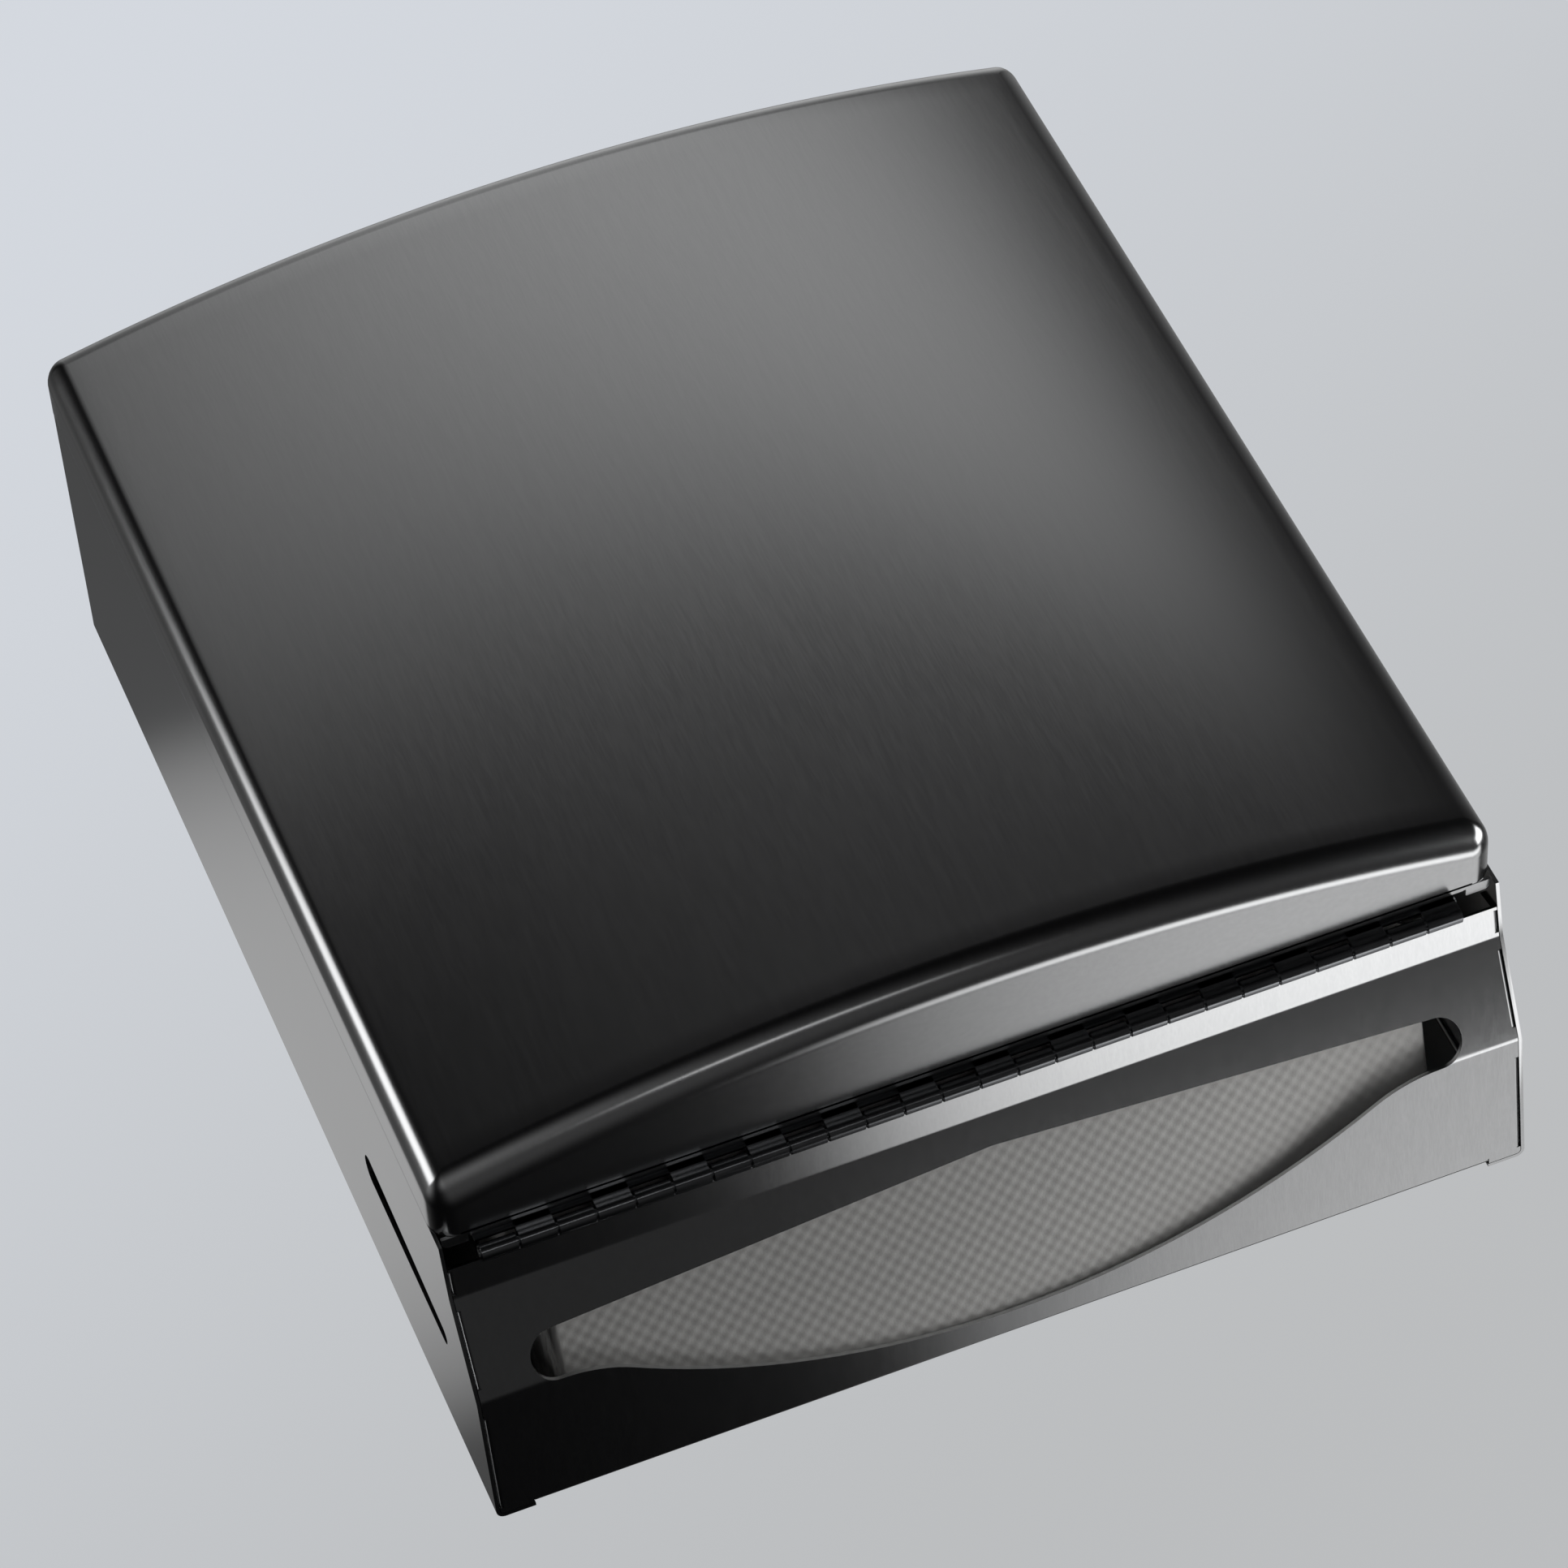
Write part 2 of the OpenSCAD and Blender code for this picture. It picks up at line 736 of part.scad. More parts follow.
// Plan of the tongue of the door underside, drawn as X and Y.
module tongue_plan() {
    half = inner_half - tongue_gap;
    flat = half_w - corner_radius;
    inner = door_flange_half + relief_half;
    rear = flange_y + 0.5;
    r = tongue_corner;
    for (s = [-1, 1]) {
        translate([s > 0 ? inner : -half, door_rear_y])
            square([half - inner, rear - r - door_rear_y]);
        translate([s > 0 ? inner : r - half, door_rear_y])
            square([half - r - inner, rear - door_rear_y]);
        translate([s * (half - r), rear - r])
            circle(r = r);
    }
    translate([-half, door_rear_y])
        square([2 * half, flange_y - flange_fold - door_rear_y]);
    translate([-flat, door_rear_y - 1])
        square([2 * flat, flange_y - flange_fold - door_rear_y + 1]);
}

module hinge_flange_profile() {
    fold = flange_fold;
    intersection() {
        translate([flange_y - fold, door_bottom + fold])
            difference() {
                circle(r = fold);
                circle(r = fold - sheet);
            }
        translate([flange_y - fold, door_bottom])
            square([fold, fold]);
    }
    translate([flange_y - sheet, door_bottom + fold])
        square([sheet, hinge_flange - fold]);
    translate([door_rear_y - 3, door_bottom])
        square([flange_y - fold - door_rear_y + 3, sheet]);
}

// Plan of the lock barrel with its two flats.
module lock_plan(extra) {
    intersection() {
        circle(r = lock_radius + extra);
        translate([-lock_flat - extra, -lock_radius - 5])
            square([2 * (lock_flat + extra), 2 * lock_radius + 10]);
    }
}

module door_pan() {
    color([0.56, 0.57, 0.59])
    placed()
    difference() {
        union() {
            difference() {
                door_form(0);
                door_form(sheet);
                translate([-half_w - 5, door_rear_y, door_bottom - 5])
                    cube([cabinet_width + 10, 80, door_top - door_bottom + 10]);
            }
            translate([0, 0, door_bottom])
                linear_extrude(height = sheet)
                    tongue_plan();
            along_x(2 * door_flange_half)
                hinge_flange_profile();
        }
        translate([0, lock_y, door_top - 5])
            linear_extrude(height = 10)
                lock_plan(0.2);
    }
}

module lock_housing() {
    color([0.72, 0.72, 0.73])
    placed()
    translate([0, lock_y, 0])
    difference() {
        union() {
            translate([0, 0, lock_end_z])
                linear_extrude(height = lock_length)
                    lock_plan(0);
            translate([0, 0, door_top])
                cylinder(r = lock_head_radius, h = lock_head);
        }
        translate([0, 0, lock_end_z - 5])
            cylinder(r = plug_radius + plug_play, h = lock_length + lock_head + 10);
    }
}

module lock_nut() {
    color([0.66, 0.66, 0.67])
    placed()
    translate([0, lock_y, door_top - sheet - 4])
    difference() {
        cylinder(r = lock_radius + 3.6, h = 4, $fn = 6);
        translate([0, 0, -1])
            linear_extrude(height = 6)
                lock_plan(0.05);
    }
}

wafer_z = [for (i = [0:3]) lock_end_z + 3 + i * 2.6];

module lock_plug() {
    color([0.75, 0.72, 0.6])
    placed()
    translate([0, lock_y, 0])
    difference() {
        union() {
            translate([0, 0, cam_top_z])
                cylinder(r = plug_radius, h = plug_face_z - cam_top_z);
            translate([-square_half, -square_half, cam_bottom_z])
                cube([2 * square_half, 2 * square_half, cam_sheet + 1]);
        }
        translate([-0.9, -3.6, lock_end_z + 1.5])
            cube([1.8, 7.2, 40]);
        for (z = wafer_z)
            translate([-2.05, -plug_radius - 1, z - 0.05])
                cube([4.1, 2 * plug_radius + 2, 1.3]);
        translate([0, 0, cam_bottom_z - 1])
            cylinder(r = 2.05, h = 7);
    }
}

// Four flat wafers held level with the plug surface, each with a window for the key.
module lock_wafers() {
    color([0.8, 0.7, 0.4])
    placed()
    translate([0, lock_y, 0])
    for (z = wafer_z)
        difference() {
            translate([-2, -plug_radius + 0.6, z])
                cube([4, 2 * plug_radius - 1.2, 1.2]);
            translate([-1, -3, z - 1])
                cube([2, 6, 4]);
        }
}

module ring_sector(r0, r1, a0, a1) {
    intersection() {
        difference() {
            circle(r = r1);
            circle(r = r0);
        }
        polygon([
            [0, 0],
            3 * r1 * unit(a0),
            3 * r1 * unit((a0 + a1) / 2),
            3 * r1 * unit(a1)
        ]);
    }
}

// Hook cam, drawn unlocked: the finger lies beside the axis, clear of the keeper tab.
module lock_cam() {
    color([0.7, 0.7, 0.71])
    placed()
    translate([0, lock_y, cam_bottom_z])
    difference() {
        linear_extrude(height = cam_sheet) {
            circle(r = plug_radius);
            ring_sector(finger_inner, finger_outer, 150, 256);
            ring_sector(plug_radius - 1, finger_outer, 238, 256);
        }
        translate([-square_half - 0.05, -square_half - 0.05, -1])
            cube([2 * square_half + 0.1, 2 * square_half + 0.1, cam_sheet + 2]);
    }
}

module cam_washer() {
    color([0.68, 0.69, 0.7])
    placed()
    translate([0, lock_y, cam_bottom_z - cam_washer_sheet])
    difference() {
        cylinder(r = 4.8, h = cam_washer_sheet);
        translate([0, 0, -1])
            cylinder(r = 2.1, h = 3);
    }
}

module cam_screw() {
    color([0.6, 0.61, 0.62])
    placed()
    translate([0, lock_y, cam_bottom_z - cam_washer_sheet])
    difference() {
        union() {
            translate([0, 0, -2.2])
                cylinder(r = 3.8, h = 2.2);
            cylinder(r = 2, h = 5.5);
        }
        translate([-0.5, -5, -3])
            cube([1, 10, 1.9]);
    }
}

cabinet_shell();
top_panel();
bottom_tray();
hinge_cabinet_leaf();
hinge_pin();
keeper_bracket();
keeper_rivets();
towel_stack();
door_pan();
hinge_door_leaf();
lock_housing();
lock_nut();
lock_plug();
lock_wafers();
lock_cam();
cam_washer();
cam_screw();
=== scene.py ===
import bpy
import bmesh
import numpy as np
from mathutils import Matrix


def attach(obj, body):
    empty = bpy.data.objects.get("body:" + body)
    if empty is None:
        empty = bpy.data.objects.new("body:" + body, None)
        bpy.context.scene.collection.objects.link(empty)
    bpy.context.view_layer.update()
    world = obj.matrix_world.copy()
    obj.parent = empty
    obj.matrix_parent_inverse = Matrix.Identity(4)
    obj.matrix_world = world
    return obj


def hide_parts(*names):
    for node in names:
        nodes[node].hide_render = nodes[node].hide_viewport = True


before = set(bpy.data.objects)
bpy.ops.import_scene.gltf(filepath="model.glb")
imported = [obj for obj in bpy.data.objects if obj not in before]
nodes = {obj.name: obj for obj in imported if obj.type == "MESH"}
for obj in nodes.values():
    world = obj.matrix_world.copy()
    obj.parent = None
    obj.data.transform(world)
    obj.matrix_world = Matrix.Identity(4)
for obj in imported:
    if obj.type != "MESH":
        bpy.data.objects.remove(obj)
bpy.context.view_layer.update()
mm = 0.001
print("frame loaded", len(nodes), "nodes")

# the source counts heights from the lowest edge of the cabinet, the frame from the wall holes
wallHoleHeight = 180.0


# shader helpers
class Wire:
    # wraps an output socket so that an expression on it adds the Math nodes
    def __init__(self, tree, socket):
        self.tree = tree
        self.socket = socket

    def math(self, operation, *others):
        node = self.tree.nodes.new("ShaderNodeMath")
        node.operation = operation
        for index, value in enumerate((self,) + others):
            feed(self.tree, node.inputs[index], value)
        return Wire(self.tree, node.outputs[0])

    def __add__(self, other):
        return self.math("ADD", other)

    __radd__ = __add__

    def __sub__(self, other):
        return self.math("SUBTRACT", other)

    def __rsub__(self, other):
        return (self * -1.0).math("ADD", other)

    def __mul__(self, other):
        return self.math("MULTIPLY", other)

    __rmul__ = __mul__

    def __pow__(self, other):
        return self.math("POWER", other)


def feed(tree, socket, value):
    if isinstance(value, Wire):
        tree.links.new(value.socket, socket)
    elif isinstance(value, (tuple, list)) and len(value) == 3 and socket.type == "RGBA":
        socket.default_value = (*value, 1.0)
    else:
        socket.default_value = value


class Finish:
    # the nodes of one material or world: node() makes any node, settings first and then its
    # socket values or links, by name or as i0, i1 and so on
    def __init__(self, owner, output="ShaderNodeOutputMaterial"):
        self.owner = owner
        owner.use_nodes = True
        self.tree = owner.node_tree
        self.tree.nodes.clear()
        self.output = self.tree.nodes.new(output)

    def node(self, kind, settings=None, out=0, **inputs):
        made = self.tree.nodes.new(kind)
        for key, value in (settings or {}).items():
            setattr(made, key, value)
        names = [s.name.replace(" ", "") for s in made.inputs]
        for key, value in inputs.items():
            numbered = key[0] == "i" and key[1:].isdigit()
            feed(self.tree, made.inputs[int(key[1:]) if numbered else names.index(key)], value)
        return Wire(self.tree, made.outputs[out])

    def split(self, vector):
        made = self.node("ShaderNodeSeparateXYZ", Vector=vector)
        return [Wire(self.tree, s) for s in made.socket.node.outputs]

    def noise(self, pitch, detail=2.0, roughness=0.5):
        # object coordinates with so many noise cells per metre, the same all ways or one number each way
        where = self.node("ShaderNodeTexCoord", out=3)
        scale = tuple(pitch) if isinstance(pitch, (tuple, list)) else (pitch,) * 3
        fitted = self.node("ShaderNodeMapping", Vector=where, Scale=scale)
        return self.node("ShaderNodeTexNoise", Vector=fitted, Scale=1.0, Detail=detail, Roughness=roughness)

    def remap(self, value, low, high, newLow, newHigh):
        return self.node("ShaderNodeMapRange", {"interpolation_type": "SMOOTHSTEP"},
                         i0=value, i1=low, i2=high, i3=newLow, i4=newHigh)

    def blend(self, factor, first, second):
        return self.node("ShaderNodeMix", {"data_type": "RGBA"}, out=2, i0=factor, i6=first, i7=second)

    def bump(self, height, strength, distance):
        return self.node("ShaderNodeBump", Strength=strength, Distance=distance, Height=height)

    def close(self, shader):
        self.tree.links.new(shader.socket, self.output.inputs["Surface"])
        return self.owner

    def surface(self, **inputs):
        return self.close(self.node("ShaderNodeBsdfPrincipled", **inputs))

    def frontOnly(self, shader):
        # clear where the back of a face is seen
        clear = self.node("ShaderNodeBsdfTransparent")
        behind = self.node("ShaderNodeNewGeometry", out=6)
        return self.close(self.node("ShaderNodeMixShader", i0=behind, i1=shader, i2=clear))


def newMaterial(name):
    return Finish(bpy.data.materials.new(name))


# finishes
steelLook = {
    "colour": (0.56, 0.565, 0.57),
    "dark": (0.52, 0.525, 0.53),
    "roughness": 0.20,
    "roughSpread": 0.03,
    "grainPitch": 2600.0,   # grain lines per metre across the grain
    "grainRun": 160.0,      # and along it
    "bandPitch": 572.0,     # the same for the wider bands
    "bandRun": 56.0,
    "cloudPitch": 14.0,
    "grainDepth": 0.0000015,
}
# the hinge steel is a darker copy of the satin steel: painted shade for the hinge, which sits in shadow
# under the door
shadedHingeLook = dict(steelLook, colour=(0.26, 0.265, 0.275), dark=(0.18, 0.185, 0.195), roughSpread=0.08)


def satinSteel(name, along, look=steelLook):
    # grain = 0.65 * fine noise + 0.35 * bands, both drawn out along one axis; it sets colour and relief,
    # and 60 percent of the spread in roughness, a wide noise the rest
    f = newMaterial(name)
    fine, coarse = [look["grainPitch"]] * 3, [look["bandPitch"]] * 3
    fine[along], coarse[along] = look["grainRun"], look["bandRun"]
    hair = f.noise(fine, 2.0, 0.6)
    band = f.noise(coarse, 1.0)
    cloud = f.noise(look["cloudPitch"])
    grain = hair * 0.65 + band * 0.35
    tone = f.remap(grain, 0.3, 0.7, 0.0, 1.0)
    colour = f.blend(tone, look["dark"], look["colour"])
    spread = look["roughSpread"]
    rough = (look["roughness"] - spread * 0.5) + tone * (spread * 0.6) + cloud * (spread * 0.4)
    normal = f.bump(grain, 0.5, look["grainDepth"])
    return f.surface(BaseColor=colour, Metallic=1.0, Roughness=rough, Normal=normal)


plainLook = {
    "speckPitch": 900.0,
    "cloudPitch": 60.0,
    "dim": 0.8,             # the darkest patches as a share of the colour
    "speckDepth": 0.00003,
}


def plainMetal(name, colour, roughness, spread=0.08, look=plainLook):
    # fine specks and a wide noise in equal shares set colour and roughness, the specks the relief
    f = newMaterial(name)
    speck = f.noise(look["speckPitch"], 3.0, 0.6)
    cloud = f.noise(look["cloudPitch"])
    shade = f.remap(speck * 0.5 + cloud * 0.5, 0.3, 0.7, 0.0, 1.0)
    dim = tuple(c * look["dim"] for c in colour)
    return f.surface(BaseColor=f.blend(shade, dim, colour), Metallic=1.0,
                     Roughness=(roughness - spread / 2) + shade * spread,
                     Normal=f.bump(speck, 0.25, look["speckDepth"]))


paperLook = {
    "colour": (0.80, 0.79, 0.77),
    "shade": (0.64, 0.635, 0.62),
    "roughness": 0.92,
    "fibrePitch": 1900.0,
    "cloudPitch": 160.0,
    "layerRun": 7.0,        # painted shade between the folded towels on the upright sides, and their relief: cells per metre along them
    "layerPitch": 2300.0,   # and upwards
    "relief": 0.00006,
}


def towelPaper(name, look=paperLook):
    # fibre noise all over; a noise squeezed in height draws the folded edges on the upright sides as relief
    # and as darker bands of painted shade between the towels
    f = newMaterial(name)
    fibre = f.noise(look["fibrePitch"], 3.0, 0.6)
    cloud = f.noise(look["cloudPitch"])
    layers = f.noise((look["layerRun"], look["layerRun"], look["layerPitch"]), 2.0, 0.6)
    level = f.split(f.node("ShaderNodeNewGeometry", out=1))[2].math("ABSOLUTE")
    flat = f.remap(level, 0.45, 0.75, 0.0, 1.0)
    # darker bands on the upright sides: painted shade in the gaps between the folded towels
    edges = f.remap(layers, 0.35, 0.6, 0.9, 0.0)
    shade = flat * f.remap(fibre * 0.6 + cloud * 0.4, 0.35, 0.7, 0.35, 0.0) + (1.0 - flat) * edges
    colour = f.blend(shade, look["colour"], look["shade"])
    normal = f.bump(flat * fibre + (1.0 - flat) * (layers * 3.0), 0.7, look["relief"])
    return f.surface(BaseColor=colour, Metallic=0.0, Roughness=look["roughness"], Normal=normal)


finishes = {
    "satinUpright": satinSteel("satinUpright", 2),
    "satinTray": satinSteel("satinTray", 1),
    "shadedHingeSteel": satinSteel("shadedHingeSteel", 0, shadedHingeLook),
    "platedSteel": plainMetal("platedSteel", (0.62, 0.63, 0.64), 0.28),
    "lockChrome": plainMetal("lockChrome", (0.75, 0.75, 0.76), 0.12, 0.06),
    "lockBrass": plainMetal("lockBrass", (0.74, 0.62, 0.36), 0.3),
    "towelPaper": towelPaper("towelPaper"),
}
nodeFinish = {
    "cabinet_shell": "satinUpright",
    "top_panel": "satinTray",
    "bottom_tray": "satinTray",
    "hinge_cabinet_leaf": "shadedHingeSteel",
    "hinge_door_leaf": "shadedHingeSteel",
    "hinge_pin": "shadedHingeSteel",
    "keeper_bracket": "platedSteel",
    "keeper_rivets": "platedSteel",
    "towel_stack": "towelPaper",
    "door_pan": "satinUpright",
    "lock_housing": "lockChrome",
    "lock_nut": "lockChrome",
    "lock_plug": "lockBrass",
    "lock_wafers": "lockBrass",
    "lock_cam": "platedSteel",
    "cam_washer": "platedSteel",
    "cam_screw": "platedSteel",
}


# smooth folds and barrels of the carried over solids
foldFacts = {
    "merge": 0.000004,
    "sharpAngle": 0.5,      # radians; a sharper edge stays an edge
    "flatWeight": 80,
}


def foldShading():
    # merges the loose triangles, shades smooth and keeps every edge sharper than the limit
    tree = bpy.data.node_groups.new("foldShading", "GeometryNodeTree")
    tree.interface.new_socket("Geometry", in_out="INPUT", socket_type="NodeSocketGeometry")
    tree.interface.new_socket("Geometry", in_out="OUTPUT", socket_type="NodeSocketGeometry")
    make = tree.nodes.new
    start, end = make("NodeGroupInput"), make("NodeGroupOutput")
    merge = make("GeometryNodeMergeByDistance")
    merge.inputs["Distance"].default_value = foldFacts["merge"]
    faces = make("GeometryNodeSetShadeSmooth")
    edges = make("GeometryNodeSetShadeSmooth")
    edges.domain = "EDGE"
    angle = make("GeometryNodeInputMeshEdgeAngle")
    limit = make("FunctionNodeCompare")
    limit.operation = "LESS_THAN"
    limit.inputs[1].default_value = foldFacts["sharpAngle"]
    link = tree.links.new
    link(start.outputs[0], merge.inputs[0])
    link(merge.outputs[0], faces.inputs[0])
    link(faces.outputs[0], edges.inputs[0])
    link(angle.outputs[0], limit.inputs[0])
    link(limit.outputs[0], edges.inputs["Shade Smooth"])
    link(edges.outputs[0], end.inputs[0])
    return tree


foldTree = foldShading()


def keepFolds(made):
    made.modifiers.new("foldShading", "NODES").node_group = foldTree
    weighted = made.modifiers.new("flatFaces", "WEIGHTED_NORMAL")
    weighted.keep_sharp = True
    weighted.weight = foldFacts["flatWeight"]


for name, node in nodes.items():
    node.data.materials.clear()
    node.data.materials.append(finishes[nodeFinish[name]])
    keepFolds(node)
print("finishes on", len(nodes), "nodes")


def newPiece(name, points, faces, finish):
    mesh = bpy.data.meshes.new(name)
    mesh.from_pydata(points.tolist(), [], faces)
    mesh.validate()
    mesh.polygons.foreach_set("use_smooth", [True] * len(mesh.polygons))
    mesh.materials.append(finishes[finish])
    made = bpy.data.objects.new(name, mesh)
    bpy.context.scene.collection.objects.link(made)
    return made


def gridFaces(rows, columns, offset=0, closed=False):
    # quads of a rows by columns grid of points, optionally closed round the columns
    span = columns if closed else columns - 1
    r, c = np.meshgrid(np.arange(rows - 1), np.arange(span), indexing="ij")
    n = (c + 1) % columns
    row, above = r * columns, (r + 1) * columns
    quads = np.stack([row + c, row + n, above + n, above + c], axis=-1)
    return (quads.reshape(-1, 4) + offset).tolist()


# drawn door
doorShape = {
    "halfWidth": 150.0,
    "low": 24.0,
    "high": 355.0,
    "rearY": -91.6,
    "sideY": -108.9,
    "crown": 17.5,
    "edgeRadius": 8.4,
    "sideRadius": 6.5,
    "cornerRadius": 7.0,
    "cornerEase": 1.5,      # how soon the corner sharpens round the edge
    "cornerLeast": 0.0001,
    "sheet": 1.0,
    "across": 61,
    "upward": 49,
    "cornerSteps": 8,
    "edgeSteps": 14,
    "returnRows": (0.0, 0.03, 0.5, 0.97),
}


def doorOutline(inX, inZ, corner, shape):
    # rounded rectangle in X and height, inset by inX and inZ; the same number of points on every inset
    a = shape["halfWidth"] - inX
    low, high = shape["low"] + inZ, shape["high"] - inZ
    k = shape["cornerSteps"]
    xs = np.linspace(-a + corner, a - corner, shape["across"])
    zs = np.linspace(low + corner, high - corner, shape["upward"])
    turn = np.linspace(0, np.pi / 2, k + 2)[1:-1]
    bottom = np.stack([xs, np.full_like(xs, low)], 1)
    right = np.stack([np.full_like(zs, a), zs], 1)
    top = np.stack([xs[::-1], np.full_like(xs, high)], 1)
    left = np.stack([np.full_like(zs, -a), zs[::-1]], 1)

    def arc(cx, cz, start):
        return np.stack([cx + corner * np.cos(start + turn), cz + corner * np.sin(start + turn)], 1)

    return np.concatenate([
        bottom, arc(a - corner, low + corner, -np.pi / 2),
        right, arc(a - corner, high - corner, 0.0),
        top, arc(-a + corner, high - corner, np.pi / 2),
        left, arc(-a + corner, low + corner, np.pi),
    ])


def crownDepth(x, shape):
    # circle through the two side corners and the crown in the middle
    radius = (shape["halfWidth"] ** 2 + shape["crown"] ** 2) / (2 * shape["crown"])
    return shape["sideY"] - shape["crown"] + radius - np.sqrt(radius ** 2 - x ** 2)


def buildDoor(shape):
    # rings run from the rear rim along the returns, round the pressed edge and meet the front grid;
    # the edge is a quarter circle laid on the crowned front
    k, nx, nz = shape["cornerSteps"], shape["across"], shape["upward"]
    total = 2 * nx + 2 * nz + 4 * k
    edge, side = shape["edgeRadius"], shape["sideRadius"]
    half = [np.full(nx, edge), np.linspace(edge, side, k + 2)[1:-1],
            np.full(nz, side), np.linspace(side, edge, k + 2)[1:-1]]
    radius = np.concatenate(half * 2)
    rings = []
    outer = doorOutline(0, 0, shape["cornerRadius"], shape)
    rimY = np.full(total, shape["rearY"])
    bendY = crownDepth(outer[:, 0], shape) + radius
    for share in shape["returnRows"]:
        rings.append(np.stack([outer[:, 0], rimY + (bendY - rimY) * share, outer[:, 1]], 1))
    for phi in np.linspace(0, np.pi / 2, shape["edgeSteps"] + 1):
        inX, inZ = side * (1 - np.cos(phi)), edge * (1 - np.cos(phi))
        corner = shape["cornerRadius"] * np.cos(phi) ** shape["cornerEase"] + shape["cornerLeast"]
        ring = doorOutline(inX, inZ, corner, shape)
        y = crownDepth(ring[:, 0], shape) + radius * (1 - np.sin(phi))
        rings.append(np.stack([ring[:, 0], y, ring[:, 1]], 1))
    points = np.concatenate(rings)
    faces = gridFaces(len(rings), total, closed=True)
    xs = np.linspace(-shape["halfWidth"] + side, shape["halfWidth"] - side, nx)
    zs = np.linspace(shape["low"] + edge, shape["high"] - edge, nz)
    gx, gz = np.meshgrid(xs, zs)
    front = np.stack([gx, crownDepth(gx, shape), gz], -1).reshape(-1, 3)
    return np.concatenate([points, front]), [f[::-1] for f in faces] + gridFaces(nz, nx, len(points))


def toFrame(points):
    # millimetres above the lowest edge to metres from the wall holes
    moved = np.array(points, dtype=float)
    moved[:, 2] -= wallHoleHeight
    return moved * mm


def weldPiece(made, distance=0.00001):
    bm = bmesh.new()
    bm.from_mesh(made.data)
    bmesh.ops.remove_doubles(bm, verts=bm.verts, dist=distance)
    bmesh.ops.dissolve_degenerate(bm, edges=bm.edges, dist=distance * 0.1)
    bmesh.ops.recalc_face_normals(bm, faces=bm.faces)
    bm.to_mesh(made.data)
    bm.free()


def addSheet(made, thickness):
    skin = made.modifiers.new("sheet", "SOLIDIFY")
    skin.thickness = thickness
    skin.offset = -1.0
    skin.use_even_offset = True


doorPoints, doorFaces = buildDoor(doorShape)
doorSkin = newPiece("door_skin", toFrame(doorPoints), doorFaces, "satinUpright")
weldPiece(doorSkin)
addSheet(doorSkin, doorShape["sheet"] * mm)
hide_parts("door_pan")
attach(doorSkin, "door")
print("door", len(doorSkin.data.polygons))


def loopRows(rows):
    # closed outlines of equal length joined in a row, with a cap on the first and the last
    count, size = len(rows), len(rows[0])
    points = np.concatenate(rows)
    faces = gridFaces(count, size, closed=True)
    return points, faces + [list(range(size))[::-1], list(range((count - 1) * size, count * size))]


def joinPieces(parts):
    # parts as point and face lists, put into one mesh
    points, faces, offset = [], [], 0
    for somePoints, someFaces in parts:
        points.append(somePoints)
        faces += [[i + offset for i in face] for face in someFaces]
        offset += len(somePoints)
    return np.concatenate(points), faces


def prismX(outline, x0, x1):
    # outline in depth and height, carried along X
    return loopRows([np.insert(outline, 0, x, axis=1) for x in (x0, x1)])


def prismZ(outline, z0, z1):
    # outline in X and depth, carried upwards
    return loopRows([np.insert(outline, 2, z, axis=1) for z in (z0, z1)])


def arcPoints(centre, radius, start, end, steps):
    turn = np.radians(np.linspace(start, end, steps))
    return np.stack([centre[0] + radius * np.cos(turn), centre[1] + radius * np.sin(turn)], 1)


# tongue and hinge flange, folded from the underside of the door
tongueShape = {
    "low": doorShape["low"],
    "sheet": doorShape["sheet"],
    "rearY": doorShape["rearY"],
    "rimY": -92.4,
    "foldY": -90.518,
    "fold": 2.0,
    "flangeTop": 33.0,
    "flangeHalf": 140.35,
    "earFrom": 141.25,
    "earTo": 148.5,
    "earRear": -88.018,
    "earCorner": 2.0,
    "rimHalf": 143.0,
    "foldSteps": 9,
    "cornerSteps": 7,
}


def buildTongue(shape):
    # flange outline: under side, quarter round, up the rear face, over and back down the front face
    low, sheet, fold = shape["low"], shape["sheet"], shape["fold"]
    centre = (shape["foldY"], low + fold)
    rear = shape["foldY"] + fold
    flange = np.concatenate([
        [[shape["rimY"], low]], arcPoints(centre, fold, -90, 0, shape["foldSteps"]),
        [[rear, shape["flangeTop"]], [rear - sheet, shape["flangeTop"]]],
        arcPoints(centre, fold - sheet, 0, -90, shape["foldSteps"]), [[shape["rimY"], low + sheet]],
    ])
    parts = [prismX(flange, -shape["flangeHalf"], shape["flangeHalf"])]
    corner = shape["earCorner"]
    bend = (shape["earTo"] - corner, shape["earRear"] - corner)
    for side in (-1, 1):
        ear = np.concatenate([
            [[shape["earFrom"], shape["rimY"]], [shape["rimHalf"], shape["rimY"]],
             [shape["rimHalf"], shape["rearY"]], [shape["earTo"], shape["rearY"]]],
            arcPoints(bend, corner, 0, 90, shape["cornerSteps"]),
            [[shape["earFrom"], shape["earRear"]]],
        ])
        parts.append(prismZ(ear * (side, 1), low, low + sheet))
        step = np.array([[shape["flangeHalf"], shape["rimY"]], [shape["earFrom"], shape["rimY"]],
                         [shape["earFrom"], shape["foldY"]], [shape["flangeHalf"], shape["foldY"]]])
        parts.append(prismZ(step * (side, 1), low, low + sheet))
    return joinPieces(parts)


tonguePoints, tongueFaces = buildTongue(tongueShape)
doorTongue = newPiece("door_tongue", toFrame(tonguePoints), tongueFaces, "satinTray")
weldPiece(doorTongue)
keepFolds(doorTongue)
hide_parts("door_pan")
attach(doorTongue, "door")
print("tongue", len(doorTongue.data.polygons))

